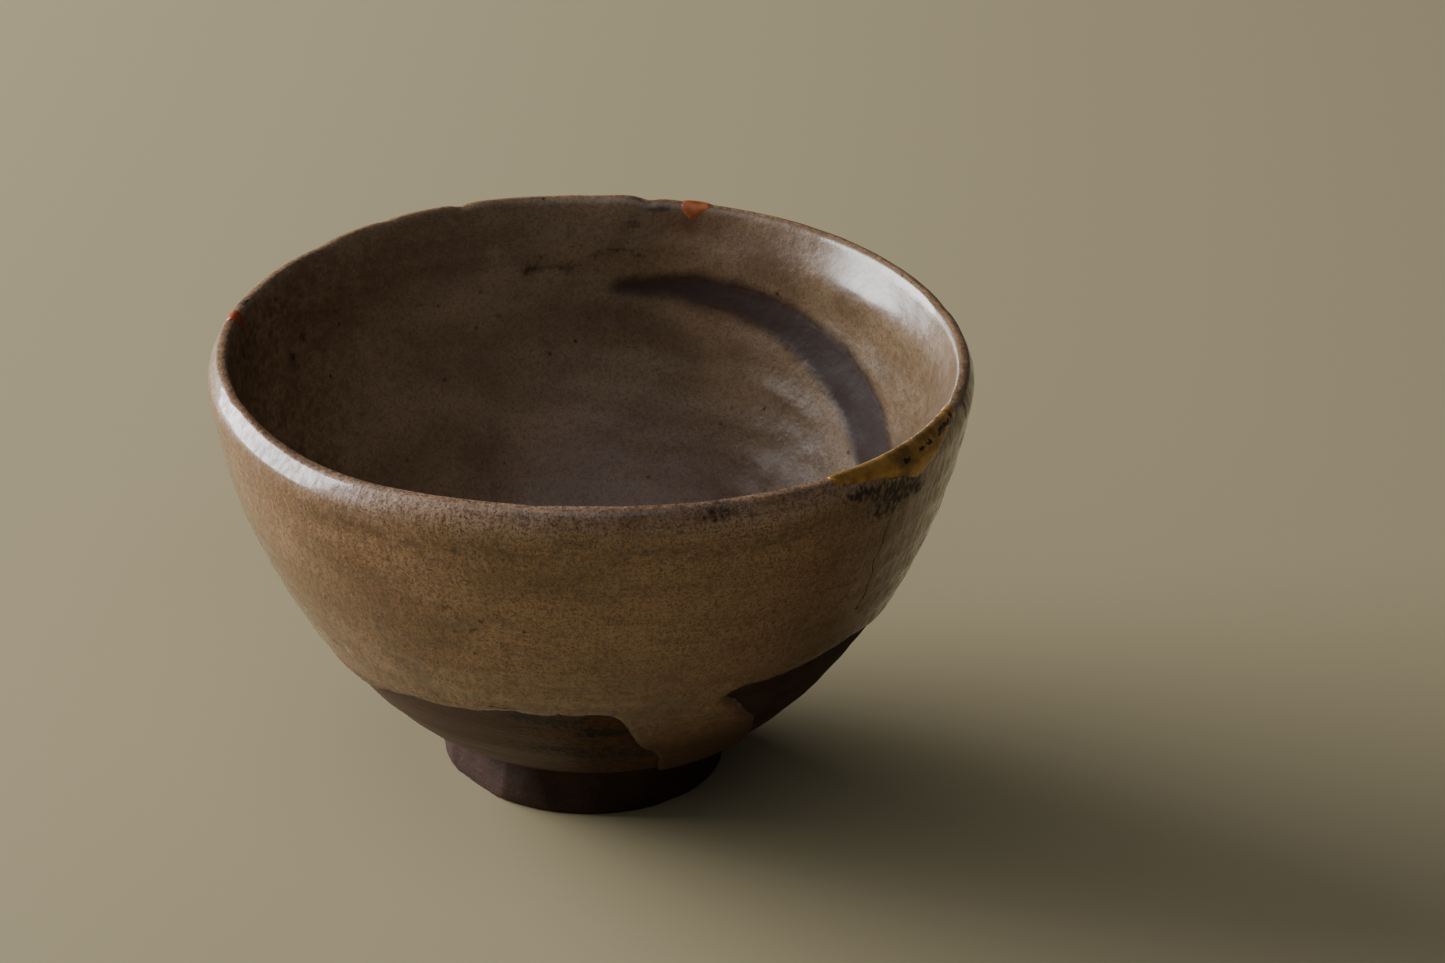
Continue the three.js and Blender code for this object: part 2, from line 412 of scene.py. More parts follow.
    def settle(self, places: Places, proud: Array | float = 0.0) -> Array:
        """Gives points the form's unevenness.

        Args:
            places: The points.
            proud: How far to move each one out of the wall besides.

        Returns:
            Where they come to lie, in millimetres.
        """
        radial, upward = self.outward(places)
        shift = self.relief(places) + self.roll(places) + proud
        inward, lower = self.bevel(places)
        radius = places.radius + radial * shift + inward
        height = places.height + upward * shift + lower
        rise = ease(height, self.waist, self.rim)
        turn = np.radians(places.azimuth)
        lift = sum(tall * places.facing(at, spread) for at, spread, tall in self.lip_waves)
        nick = sum(tall * places.facing(at, spread) for at, spread, tall in self.lip_nicks)
        chatter = 0.06 * mottle(places.points * (1, 1, 0), 3.2, 5.0)
        nick = (nick + chatter) * ease(height, self.rim - 4.0, self.rim)
        x = radius * np.cos(turn) + self.lean[0] * rise
        y = radius * np.sin(turn) + self.lean[1] * rise
        return np.stack([x, y, height + rise**2 * lift + nick], axis=1)


FORM = ThrownForm()


# Meshes.


def spun(line: Pairs, around: int, start: float = 0.0, sweep: float = FULL_TURN) -> BMesh:
    """Spins a line about the bowl's axis.

    Args:
        line: Its points, as (radius, height).
        around: The number of steps.
        start: The azimuth where it starts.
        sweep: How far it turns.

    Returns:
        The open surface.
    """
    bm = bmesh.new()
    verts = [bm.verts.new((radius, 0.0, height)) for radius, height in line]
    edges = [bm.edges.new(pair) for pair in zip(verts, verts[1:])]
    bmesh.ops.rotate(bm, verts=verts, matrix=Matrix.Rotation(math.radians(start), 3, "Z"))
    bmesh.ops.spin(
        bm, geom=verts + edges, cent=(0, 0, 0), axis=(0, 0, 1), angle=math.radians(sweep), steps=around,
        use_merge=sweep >= FULL_TURN,
    )
    bmesh.ops.remove_doubles(bm, verts=bm.verts, dist=1e-4)
    bmesh.ops.recalc_face_normals(bm, faces=bm.faces)
    return bm


def points_of(bm: BMesh) -> Array:
    """The places of a mesh's vertices, one row each."""
    return np.array([vert.co[:] for vert in bm.verts])


def trim(bm: BMesh, keep: Callable[[Array], Array]) -> None:
    """Cuts a surface along the line where keep is zero, and removes what is below zero.

    Args:
        bm: The surface.
        keep: Gives a distance from the line for each point.
    """
    bm.verts.index_update()
    values = dict(zip(bm.verts, keep(points_of(bm))))
    fresh = []
    for edge in list(bm.edges):
        first, second = edge.verts
        if (values[first] > 0) == (values[second] > 0):
            continue
        share = values[first] / (values[first] - values[second])
        vert = bmesh.utils.edge_split(edge, first, min(max(share, 0.1), 0.9))[1]
        values[vert] = 0.0
        fresh.append(vert)
    bmesh.ops.connect_verts(bm, verts=fresh)
    gone = [face for face in bm.faces if sum(values[vert] for vert in face.verts) < 0]
    bmesh.ops.delete(bm, geom=gone, context="FACES")


def show(name: str, data: bpy.types.ID) -> Object:
    """Puts a mesh, a light or a camera into the scene as an object at the origin."""
    shown = bpy.data.objects.new(name, data)
    bpy.context.scene.collection.objects.link(shown)
    return shown


def shell_object(name: str, bm: BMesh, thickness: float = 0.0) -> Object:
    """Turns a surface into a smooth-shaded object at the origin.

    Args:
        name: The piece's name.
        bm: The surface, in metres. It is freed.
        thickness: How thick it is made, inwards, in millimetres. Zero leaves it as it is.

    Returns:
        The object.
    """
    mesh = bpy.data.meshes.new(name)
    bm.to_mesh(mesh)
    bm.free()
    mesh.polygons.foreach_set("use_smooth", [True] * len(mesh.polygons))
    piece = show(name, mesh)
    if thickness:
        wall = piece.modifiers.new("thickness", "SOLIDIFY")
        wall.thickness = thickness * MILLIMETRE
        wall.offset = -1.0
        wall.use_rim = True
    return piece


def place_vertices(bm: BMesh, points: Array) -> None:
    """Moves every vertex to its point, given in millimetres, in metres."""
    for vert, point in zip(bm.verts, points):
        vert.co = Vector(point) * MILLIMETRE


def paint(piece: Object, layers: dict[str, Array]) -> None:
    """Stores values for the materials on a piece's vertices, one attribute for each name."""
    for name, values in layers.items():
        attribute = piece.data.attributes.new(name, "FLOAT", "POINT")
        attribute.data.foreach_set("value", np.asarray(values, np.float32))


def covered(blots: tuple[Mark, ...], places: Places) -> Array:
    """How strongly several marks together cover each place, from 0 to 1."""
    return np.clip(sum(blot.weigh(places) for blot in blots), 0.0, 1.0)


# Finishes.


def linear(colour: str) -> tuple[float, float, float, float]:
    """A colour written as six hexadecimal digits, as the shaders need it."""
    parts = [int(colour[i : i + 2], 16) / 255 for i in (0, 2, 4)]
    return tuple(c / 12.92 if c <= 0.04045 else ((c + 0.055) / 1.055) ** 2.4 for c in parts) + (1.0,)


class Brush:
    """Lays out one procedural material, a node at a time."""

    def __init__(self, name: str, base: str) -> None:
        """Starts a material with a plain surface shader and one colour all over."""
        self.material = bpy.data.materials.new(name)
        self.material.use_nodes = True
        self.tree = self.material.node_tree
        self.surface = self.tree.nodes["Principled BSDF"]
        self.object_place = self.tree.nodes.new("ShaderNodeTexCoord").outputs["Object"]
        self.relief: NodeSocket | None = None
        self.colour: Value = linear(base)

    def node(self, kind: str, inputs: dict[int | str, Value], **settings: object) -> Node:
        """Adds a node.

        Args:
            kind: The node's type, without its common beginning.
            inputs: A value or another node's output for each named or numbered input.
            settings: The node's own settings.

        Returns:
            The node.
        """
        node = self.tree.nodes.new("ShaderNode" + kind)
        for key, value in settings.items():
            setattr(node, key, value)
        for key, value in inputs.items():
            if isinstance(value, NodeSocket):
                self.tree.links.new(value, node.inputs[key])
            else:
                node.inputs[key].default_value = value
        return node

    def attribute(self, name: str) -> NodeSocket:
        """A value painted on the vertices."""
        return self.node("Attribute", {}, attribute_name=name).outputs["Fac"]

    def grain(self, per_metre: float, detail: float = 2.0, flat: float = 1.0, warp: float = 0.0) -> Value:
        """Cloudy noise.

        Args:
            per_metre: How many clouds a metre has.
            detail: How many finer layers it has.
            flat: How many times wider than tall the clouds are.
            warp: How much it is distorted.

        Returns:
            A value around 0.5.
        """
        place = self.node("Mapping", {"Vector": self.object_place, "Scale": (1.0, 1.0, flat)}).outputs[0]
        inputs = {"Vector": place, "Scale": per_metre, "Detail": detail, "Distortion": warp}
        return self.node("TexNoise", inputs).outputs["Fac"]

    def cells(self, per_metre: float) -> NodeSocket:
        """The distance to the nearest of many scattered grains."""
        inputs = {"Vector": self.object_place, "Scale": per_metre}
        return self.node("TexVoronoi", inputs).outputs["Distance"]

    def fade(self, value: Value, low: float, high: float, start: float = 0.0, end: float = 1.0) -> Value:
        """Runs smoothly from start to end as a value goes from low to high."""
        inputs = {0: value, 1: low, 2: high, 3: start, 4: end}
        return self.node("MapRange", inputs, interpolation_type="SMOOTHSTEP").outputs[0]

    def combine(self, operation: str, first: Value, second: Value) -> NodeSocket:
        """Adds or multiplies two values, or takes the larger one, as the operation says."""
        return self.node("Math", {0: first, 1: second}, operation=operation).outputs[0]

    def within(self, layer: str, pattern: Value) -> NodeSocket:
        """A pattern that shows only where a layer is painted."""
        return self.combine("MULTIPLY", self.attribute(layer), pattern)

    def lay(self, amount: Value, shade: str) -> None:
        """Lays a colour over those laid before, as strongly as amount says."""
        inputs = {0: amount, 6: self.colour, 7: linear(shade)}
        self.colour = self.node("Mix", inputs, data_type="RGBA").outputs[2]

    def raise_by(self, height: Value, millimetres: float) -> None:
        """Adds a height from 0 to 1, worth that many millimetres, to the surface's fine relief."""
        worth = self.combine("MULTIPLY", height, millimetres * MILLIMETRE)
        self.relief = worth if self.relief is None else self.combine("ADD", self.relief, worth)

    def finish(self, roughness: Value, **constants: float) -> Material:
        """Joins everything to the surface shader.

        Args:
            roughness: The roughness.
            constants: Other inputs of the shader, with spaces written as underscores.

        Returns:
            The material.
        """
        for name, value in {"Base Color": self.colour, "Roughness": roughness}.items():
            if isinstance(value, NodeSocket):
                self.tree.links.new(value, self.surface.inputs[name])
            else:
                self.surface.inputs[name].default_value = value
        for name, constant in constants.items():
            self.surface.inputs[name.replace("_", " ")].default_value = constant
        if self.relief is not None:
            bump = self.node("Bump", {"Height": self.relief, "Distance": 1.0, "Strength": 1.0})
            self.tree.links.new(bump.outputs[0], self.surface.inputs["Normal"])
        return self.material


@dataclass(frozen=True)
class GlazeFinish:
    """An ash glaze over iron-bearing clay, with specks, thin spots, a reddish break at its edges, and
    painted shade and sheen.

    Fields: its name, its colours as six hexadecimal digits, its range of roughness, how strong its dust,
    its thrown lines and the flecks in its stains are, and how rough its glossy top is.
    """

    name: str
    light: str
    deep: str
    warm: str
    speck: str
    # The pale colour also lays a painted sheen on the inside floor.
    pale_and_sheen: str = "b59880"
    # The iron colour also lays painted shade, besides the glaze's own iron band and spots.
    iron_and_shade: str = "4a2e16"
    edge: str = "57311c"
    stain: str = "1c0f08"
    under: str = "3d2306"
    roughness: tuple[float, float] = (0.38, 0.52)
    dusting: float = 0.75
    lines: float = 1.0
    flecking: float = 0.36
    coat: float = 0.12

    def make(self) -> Material:
        """Builds the material."""
        brush = Brush(self.name, self.light)
        fine = brush.grain(1400.0, 3.0)
        streaks = brush.grain(800.0, 3.0, 0.2)
        stained = self.colour(brush, fine, streaks)
        brush.raise_by(brush.grain(170.0, 3.0), 0.16)
        brush.raise_by(brush.grain(480.0, 3.0), 0.14)
        brush.raise_by(fine, 0.03)
        brush.raise_by(streaks, 0.14 * self.lines)
        brush.raise_by(brush.fade(brush.cells(480.0), 0.0, 0.16), 0.03)
        matt = brush.attribute("matt")
        rough = brush.fade(brush.grain(160.0, 4.0), 0.3, 0.7, *self.roughness)
        rough = brush.combine("ADD", rough, brush.combine("MULTIPLY", stained, 0.2))
        rough = brush.combine("ADD", rough, brush.fade(matt, 0.8, 1.0, 0.0, 0.32))
        gloss = brush.fade(brush.combine("MAXIMUM", matt, stained), 0.0, 1.0, 0.95, 0.0)
        broken = brush.fade(streaks, 0.44, 0.6, 1.0, 1.0 - 0.6 * self.lines)
        gloss = brush.combine("MULTIPLY", gloss, broken)
        brush.tree.links.new(gloss, brush.surface.inputs["Coat Weight"])
        return brush.finish(rough, Specular_IOR_Level=0.45, Coat_Roughness=self.coat)

    def colour(self, brush: Brush, fine: Value, streaks: Value) -> Value:
        """Lays the glaze's colours, from its broad clouds to its stains.

        Args:
            brush: The material to colour.
            fine: The pattern of its fine specks.
            streaks: The pattern of its upright streaks.

        Returns:
            How strongly each place is stained.
        """
        brush.lay(brush.fade(brush.grain(34.0, 4.0, 1.6, 0.6), 0.34, 0.66), self.deep)
        bands = brush.grain(55.0, 4.0, 7.0, 0.4)
        brush.lay(brush.fade(bands, 0.45, 0.72, 0.0, 0.4 * self.lines), self.deep)
        brush.lay(brush.fade(brush.grain(19.0, 3.0), 0.46, 0.7, 0.0, 0.6), self.warm)
        bloom_and_painted_light = brush.fade(brush.grain(140.0, 4.0, 1.5), 0.3, 0.6, 0.2, 0.65)
        # The pale layer is partly the glaze's pale bloom and partly painted sheen.
        brush.lay(brush.within("pale_and_sheen", bloom_and_painted_light), self.pale_and_sheen)
        lines = brush.grain(90.0, 4.0, 22.0, 0.2)
        brush.lay(brush.fade(lines, 0.5, 0.66, 0.0, 0.45 * self.lines), self.deep)
        brush.lay(brush.fade(streaks, 0.48, 0.66, 0.0, 0.3 * self.lines), self.pale_and_sheen)
        brush.lay(brush.fade(fine, 0.46, 0.64, 0.0, 0.55 * self.dusting), self.speck)
        brush.lay(brush.fade(brush.grain(3000.0, 2.0), 0.5, 0.66, 0.0, self.dusting), self.speck)
        # The iron layer is partly the glaze's own iron and partly painted shade.
        brush.lay(brush.within("iron_and_shade", brush.fade(brush.grain(520.0, 4.0, 1.6), 0.3, 0.75)), self.iron_and_shade)
        spots = brush.fade(brush.cells(310.0), 0.05, 0.17, 1.0, 0.0)
        gathered = brush.fade(brush.grain(150.0, 2.0), 0.5, 0.62)
        brush.lay(brush.combine("MULTIPLY", spots, gathered), self.iron_and_shade)
        # The thin layer is partly thinning glaze and partly painted shade.
        brush.lay(brush.attribute("thin_glaze_and_shade"), self.under)
        brush.lay(brush.within("lip", brush.fade(brush.grain(260.0, 4.0), 0.3, 0.62, 0.35, 1.0)), self.edge)
        stain = brush.attribute("stain")
        flecks = brush.fade(brush.grain(1300.0, 5.0, 0.7), 0.3, 0.7, -self.flecking, self.flecking)
        stained = brush.fade(brush.combine("ADD", stain, flecks), 0.1, 1.1)
        stained = brush.combine("MULTIPLY", stained, brush.fade(stain, 0.02, 0.5, 0.0, 0.92))
        brush.lay(stained, self.stain)
        return stained


@dataclass(frozen=True)
class ClayFinish:
    """Dark sandy stoneware: a mauve bloom, ochre slip streaks, a purple patch inside, and painted light and
    shade at the foot.
    """

    name: str
    bare: str = "3d281e"
    sand: str = "4c362c"
    # The bloom colour also lays painted light on the foot facet that faces the window.
    bloom_and_painted_light: str = "4b352c"
    ochre: str = "522f09"
    # The soot colour also lays painted shade round the top of the foot.
    soot_and_shade: str = "120b08"
    purple: str = "4a3530"

    def make(self) -> Material:
        """Builds the material."""
        brush = Brush(self.name, self.bare)
        grit = brush.grain(1500.0, 3.0)
        brush.lay(brush.fade(brush.grain(120.0, 4.0, 1.5), 0.35, 0.7, 0.0, 0.5), self.soot_and_shade)
        brush.lay(brush.fade(grit, 0.55, 0.75, 0.0, 0.5), self.sand)
        haze = brush.fade(brush.grain(90.0, 4.0, 2.0), 0.2, 0.5, 0.6, 1.0)
        # The bloom layer is partly the mauve bloom and partly painted light on the lit foot facet.
        brush.lay(brush.within("bloom_and_painted_light", haze), self.bloom_and_painted_light)
        slip = brush.fade(brush.grain(85.0, 5.0, 4.0, 0.5), 0.3, 0.7, 0.1, 0.8)
        brush.lay(brush.within("ochre", slip), self.ochre)
        crumbs = brush.fade(brush.grain(900.0, 3.0, 1.5), 0.42, 0.66, 0.0, 0.8)
        brush.lay(brush.within("ochre", crumbs), self.soot_and_shade)
        brush.lay(brush.attribute("inside"), self.purple)
        dusk = brush.fade(brush.grain(60.0, 3.0), 0.4, 0.65, 0.0, 0.6)
        brush.lay(brush.within("inside", dusk), self.bare)
        flecks = brush.fade(grit, 0.35, 0.65, -0.3, 0.3)
        # The soot layer is partly painted shade round the top of the foot and partly the dark tears along
        # the glaze edge.
        brush.lay(brush.fade(brush.combine("ADD", brush.attribute("soot_and_shade"), flecks), 0.35, 0.75), self.soot_and_shade)
        brush.raise_by(grit, 0.07)
        brush.raise_by(brush.fade(brush.cells(700.0), 0.0, 0.3), 0.05)
        brush.raise_by(brush.grain(160.0, 3.0, 8.0), 0.12)
        smooth = brush.combine("MAXIMUM", brush.attribute("bloom_and_painted_light"), brush.attribute("inside"))
        return brush.finish(brush.fade(smooth, 0.0, 1.0, 0.78, 0.46), Specular_IOR_Level=0.25)


@dataclass(frozen=True)
class LacquerFinish:
    """Hand-laid lacquer, with or without metal powder, mottled and worn through in places."""

    name: str
    light: str
    deep: str
    worn: str
    metallic: float = 0.0
    roughness: tuple[float, float] = (0.28, 0.45)
    wear: float = 0.5

    def make(self) -> Material:
        """Builds the material."""
        brush = Brush(self.name, self.light)
        powder = brush.grain(2600.0, 2.0)
        brush.lay(brush.fade(brush.grain(240.0, 4.0), 0.35, 0.65), self.deep)
        brush.lay(brush.fade(powder, 0.45, 0.75, 0.0, 0.4), self.deep)
        patchy = brush.fade(brush.grain(700.0, 4.0), 0.3, 0.7, -0.4, 0.4)
        worn = brush.fade(brush.combine("ADD", brush.attribute("worn"), patchy), self.wear, self.wear + 0.3)
        brush.lay(worn, self.worn)
        brush.raise_by(brush.grain(330.0, 3.0), 0.08)
        brush.raise_by(powder, 0.012)
        brush.raise_by(worn, -0.03)
        rough = brush.fade(brush.grain(300.0, 3.0), 0.3, 0.7, *self.roughness)
        return brush.finish(rough, Metallic=self.metallic, Specular_IOR_Level=0.5)


# Pieces.


class Piece:
    """What every part of the bowl has: a name, a finish and the CAD nodes that it stands for."""

    name: str
    slot: Slot
    nodes: tuple[str, ...]

    def hand_over(self, piece: Object, material: Material) -> Object:
        """Dresses a piece, ties it to its body and reports it.

        Args:
            piece: The finished object.
            material: Its finish.

        Returns:
            The object.
        """
        piece.data.materials.append(material)
        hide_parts(*self.nodes)
        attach(piece, BODY)
        LOG.info("%s: %d vertices, %s", piece.name, len(piece.data.vertices), material.name)
        return piece


@dataclass
class ClayBody(Piece):
    """The thrown and pared body, with its foot ring and the recess under it.

    It lies under the coats by its depth. The flats are the (azimuth, cut) of the knife on the foot, and
    the tears are dark ones along the glaze's lower edge.
    """

    name: str = "clay_body"
    slot: Slot = Slot.CLAY
    nodes: tuple[str, ...] = ("stoneware_body",)
    depth: float = 0.65
    spacing: float = 0.95
    around: int = 300
    foot_radius: float = 23.0
    foot_height: float = 9.0
    ring_inside: float = 20.5
    recess_radius: float = 18.0
    recess_height: float = 8.0
    recess: Pairs = (
        (0.0, 5.6), (3.0, 5.85), (6.0, 6.4), (11.0, 6.8), (15.0, 6.7), (17.0, 6.4), (18.1, 5.3),
        (18.5, 3.0), (18.7, 0.7), (19.1, 0.12), (19.6, 0.0),
    )
    ring: Pairs = (
        (22.0, 0.0), (22.6, 0.15), (22.95, 0.6), (23.1, 3.0), (23.3, 7.0), (23.5, 8.1),
    )
    flats: Pairs = (
        (-140, 1.3), (-93, 0.6), (-48, 0.9), (12, 0.6), (70, 1.0), (128, 0.7),
    )
    tears: tuple[Mark, ...] = marks(
        (-100.6, 30.6, 3.5, 1.1, 0.9), (-93.0, 30.0, 6.0, 1.2, 0.8, 4.0), (-85.2, 27.3, 5.5, 1.3, 0.9),
        (-72.0, 26.1, 5.0, 1.3, 0.8, 8.0), (-97.0, 22.0, 9.0, 2.0, 0.6), (-78.0, 20.0, 8.0, 2.0, 0.6),
    )

    def outline(self) -> Pairs:
        """The closed line that is spun: the recess, the foot ring, then the skin."""
        corners = self.recess + self.ring
        line = [corners[0]]
        for start, end in zip(corners, corners[1:]):
            length = math.dist(start, end)
            steps = max(1, round(length / self.spacing))
            line += [tuple(np.add(start, np.subtract(end, start) * (i + 1) / steps)) for i in range(steps)]
        return line + FORM.skin.line(self.depth, 0.0, FORM.skin.last, self.spacing)

    def pare(self, points: Array, places: Places) -> Array:
        """Cuts the knife's flats into the foot and its lines into the underside.

        Args:
            points: The settled points.
            places: The same points before.

        Returns:
            The points after paring.
        """
        radius, height = places.radius, places.height
        pared = points.copy()
        below = fall(height, self.foot_height - 1.6, self.foot_height)
        on_ring = (radius > self.ring_inside) & (height < self.foot_height)
        for azimuth, cut in self.flats:
            facing = np.array(ray(azimuth).xy)
            reach = points[:, :2] @ facing
            over = np.maximum(reach - (self.foot_radius + 0.3 - cut), 0.0) * on_ring * below
            pared[:, :2] -= over[:, None] * facing
        in_recess = (radius < self.recess_radius) & (height < self.recess_height)
        spiral = 0.16 * np.sin(2 * math.pi * (radius / 2.6 - places.azimuth / 360.0))
        pared[:, 2] += np.where(in_recess, spiral + 0.2 * mottle(points, 5.0, 3.0), 0.0)
        side = on_ring & (height > 1.0)
        tool = 0.07 * np.sin(2 * math.pi * height / 1.7 + 2.0 * mottle(points, 8.0, 4.0))
        tool += 0.22 * mottle(points, 6.0, 6.0) + 0.1 * mottle(points, 2.2, 8.0)
        swell = np.where(side, tool * ease(height, 1.0, 2.2), 0.0) / np.maximum(radius, 1.0)
        pared[:, :2] *= 1.0 + swell[:, None]
        return pared

    def layers(self, places: Places) -> dict[str, Array]:
        """What the clay finish needs to know at each place."""
        azimuth, height = places.azimuth, places.height
        out = places.outside & (height > 1.0)
        left = np.clip(ease(azimuth, -178.0, -160.0) * fall(azimuth, -98.0, -82.0), 0, 1)
        # Painted light: the pared foot facet that faces the window gets the lighter mauve bloom and less of
        # the dark soot layer.
        facet = places.facing(-140.0, 16.0) * fall(height, 7.5, 9.5)
        bloom_and_painted_light = left * ease(height, 10.0, 14.0) + 0.3 * facet
        middle = ease(azimuth, -112.0, -92.0) * fall(azimuth, -66.0, -56.0)
        ochre = middle * ease(height, 10.5, 15.0)
        # Painted shade: a dark band round the top of the foot, under the body's overhang; the tears added
        # below are dark runs on the clay.
        soot_and_shade = 0.35 * bell(height, 10.0, 2.6) * (1.0 - 0.8 * facet)
        soot_and_shade += covered(self.tears, places)
        return {
            "bloom_and_painted_light": np.where(out, np.clip(bloom_and_painted_light, 0, 1), 0.0),
            "ochre": np.where(out, ochre, 0.0),
            "soot_and_shade": np.where(out, np.clip(soot_and_shade, 0, 1), 0.0),
            "inside": np.where(~places.outside & (height > 12.0), 1.0, 0.0),
        }

    def build(self) -> Object:
        """Makes the body and dresses it."""
        bm = spun(self.outline(), self.around)
        places = FORM.places(points_of(bm))
        settled = FORM.settle(places)
        place_vertices(bm, self.pare(settled, places))
        bmesh.ops.recalc_face_normals(bm, faces=bm.faces)
        piece = shell_object(self.name, bm)
        paint(piece, self.layers(places))
        return self.hand_over(piece, ClayFinish("sandy_stoneware").make())


@dataclass
class Coat(Piece):
    """A glaze coat on one side of the bowl, thinning to a rounded edge.

    It covers the skin from its first place to its last. Above the seam's height it dips under the other
    coat, past the seam's radius: inwards if seam_way is -1, and outwards if it is 1.
    """

    glaze: GlazeFinish
    seam: float
    seam_way: int
    seam_height: float = 71.0
    seam_slope: float = 0.12
    thickness: float = 0.6
    rounding: float = 1.3
    spacing: float = 0.8
    around: int = 350
    first: float = 0.0
    last: float = 0.0
    shell: float = 0.8

    def coverage(self, places: Places) -> Array:
        """How far inside the coat's edge each place is."""
        raise NotImplementedError

    def layers(self, places: Places, cover: Array) -> dict[str, Array]:
        """What the glaze finish needs to know at each place."""
        raise NotImplementedError

    def edge_wobble(self, places: Places) -> Array:
        """The raggedness of a glaze edge."""
        return 0.55 * mottle(places.points, 5.0, 11.0) + 0.3 * mottle(places.points, 1.7, 12.0)

    def lap(self, places: Places) -> Array:
        """How far the coat dips to pass under the other one across the lip."""
        past = np.maximum((places.radius - self.seam) * self.seam_way, 0.0)
        return np.where(places.height > self.seam_height, self.seam_slope * past, 0.0)

    def build(self) -> Object:
        """Makes the coat and dresses it."""
        line = FORM.skin.line(self.thickness, self.first, self.last, self.spacing)
        bm = spun(line, self.around)
        trim(bm, lambda points: self.coverage(FORM.places(points)))
        places = FORM.places(points_of(bm))
        cover = self.coverage(places)
        share = np.clip(cover / self.rounding, 0.0, 1.0)
        proud = self.thickness * np.sqrt(1.0 - (1.0 - share) ** 2) - self.lap(places)
        settled = FORM.settle(places, proud)
        bmesh.ops.recalc_face_normals(bm, faces=bm.faces)
        place_vertices(bm, settled)
        piece = shell_object(self.name, bm, self.shell)
        paint(piece, self.layers(places, cover))
        return self.hand_over(piece, self.glaze.make())

    def lip_shade(self, places: Places) -> Array:
        """The strength of the thin reddish line along the lip."""
        crest = FORM.skin.top
        return 0.2 * bell(np.hypot(places.radius - crest[0] + 0.4, places.height - crest[1]), 0.0, 0.7)


@dataclass
class OuterCoat(Coat):
    """The outside coat, from the lip to an uneven line above the foot, with a bare patch at the side."""

    name: str = "outer_glaze_coat"
    slot: Slot = Slot.OUTER_GLAZE
    nodes: tuple[str, ...] = ("outer_glaze",)
    glaze: GlazeFinish = GlazeFinish("tan_ash_glaze", "a87f56", "7a552e", "996e4c", "3e250e")
    seam: float = 59.3
    seam_way: int = -1
    last: float = 9.9
    line: Pairs = (
        (-180, 20), (-142, 25.5), (-120, 29.5), (-100, 32), (-84, 32.5), (-74, 22), (-64, 11.6), (0, 14),
        (60, 17), (120, 14), (180, 20),
    )
    bare: Outline = Outline(-30.0, (
        (-25.5, 34.6), (-24.2, 36.0), (-14.7, 36.6), (-3.0, 37.8), (5.0, 37.0), (12.0, 34.2), (17.0, 29.0),
        (18.5, 23.0), (15.0, 15.0), (10.0, 11.0), (-3.0, 11.0), (-11.8, 22.0), (-17.0, 27.5), (-23.0, 32.4),
    ))
    stains: tuple[Mark, ...] = marks(
        (-45.5, 70.6, 5.0, 1.5, 0.85), (-38.0, 68.6, 5.5, 2.2, 1.0), (-31.5, 66.6, 3.6, 1.6, 0.8),
        (-40.0, 65.6, 5.0, 1.8, 0.6), (-34.4, 62.0, 2.0, 1.6, 0.5), (-69.4, 72.4, 3.4, 1.2, 0.95),
        (-64.0, 71.8, 1.2, 0.6, 0.5), (-13.5, 71.4, 0.8, 2.0, 1.0), (-48.0, 57.0, 2.4, 0.5, 0.6, -8.0),
        (-42.9, 50.4, 1.6, 0.4, 0.75, 14.0), (-68.9, 63.6, 0.6, 1.2, 0.6), (-105.7, 50.5, 0.5, 0.5, 1.2),
        (-98.0, 51.4, 0.5, 0.5, 1.1), (-52.8, 63.8, 0.7, 0.6, 0.9), (-113.2, 69.4, 1.2, 0.7, 0.45),
        (-139.5, 27.8, 3.5, 0.6, 0.7), (-125.0, 29.8, 4.0, 0.4, 0.6), (-104.0, 33.2, 4.0, 0.4, 0.6),
        (165.5, 73.4, 1.0, 0.9, 1.5), (40.0, 66.0, 5.0, 1.5, 0.6), (125.0, 40.0, 3.0, 1.0, 0.6),
        (160.0, 60.0, 0.8, 0.8, 0.7),
    )

    def coverage(self, places: Places) -> Array:
        """How far inside the coat's edge each place is."""
        low = np.zeros(len(places.height))
        for (start, below), (end, above) in zip(self.line, self.line[1:]):
            here = (places.azimuth >= start) & (places.azimuth <= end)
            low = np.where(here, below + (above - below) * ease(places.azimuth, start, end), low)
        above_line = (places.height - low) * 1.25
        return np.minimum(above_line, -self.bare.inside(places)) + self.edge_wobble(places)

    def layers(self, places: Places, cover: Array) -> dict[str, Array]:
        """What the glaze finish needs to know at each place."""
        azimuth, height = places.azimuth, places.height
        sway = height + 0.8 * np.sin(np.radians(azimuth) * 9.0)
        front = ease(azimuth, -150.0, -125.0) * fall(azimuth, -45.0, -30.0)
        dark_band_and_shade = 0.6 * bell(sway, 66.9, 1.5) * (0.35 + 0.65 * front)
        # Painted shade: the dark iron layer grows towards the bottom of the outside.
        dark_band_and_shade += 0.75 * fall(height, 12.0, 27.0)
        phase = 2 * math.pi * height / 6.4 + 2 * mottle(places.points, 14.0, 21.0)
        rings = 0.2 * np.clip(np.sin(phase), 0, 1)
        # Painted shade: a broad darkening over the lower half of the outside.
        dark_band_and_shade += 0.4 * fall(height, 22.0, 58.0)
        # Thin glaze near its lower edge, and painted shade: the dark undercolour is laid more strongly
        # towards the bottom and on the front right, away from the window.
        low = 0.8 * fall(height, 16.0, 33.0) + 0.22 * fall(height, 26.0, 56.0)
        low += 0.2 * places.facing(-25.0, 34.0)
        tongue = places.facing(-72.0, 11.0) * fall(height, 22.0, 36.0)
        low = np.maximum(low, tongue * fall(cover, 0.2, 8.0))
        edge = 0.8 * bell(cover, 0.5, 0.4) * fall(height, 36.0, 40.0)
        return {
            "thin_glaze_and_shade": np.clip(np.maximum(0.7 * fall(cover, 0.1, 2.4), low), 0, 0.93),
            "matt": fall(height, 20.0, 38.0),
            "pale_and_sheen": 0.8 * bell(height, 72.0, 2.6) * (0.3 + 0.7 * front),
            "lip": self.lip_shade(places) + edge,
            "stain": covered(self.stains, places),
            "iron_and_shade": np.clip(dark_band_and_shade + rings, 0, 1),
        }


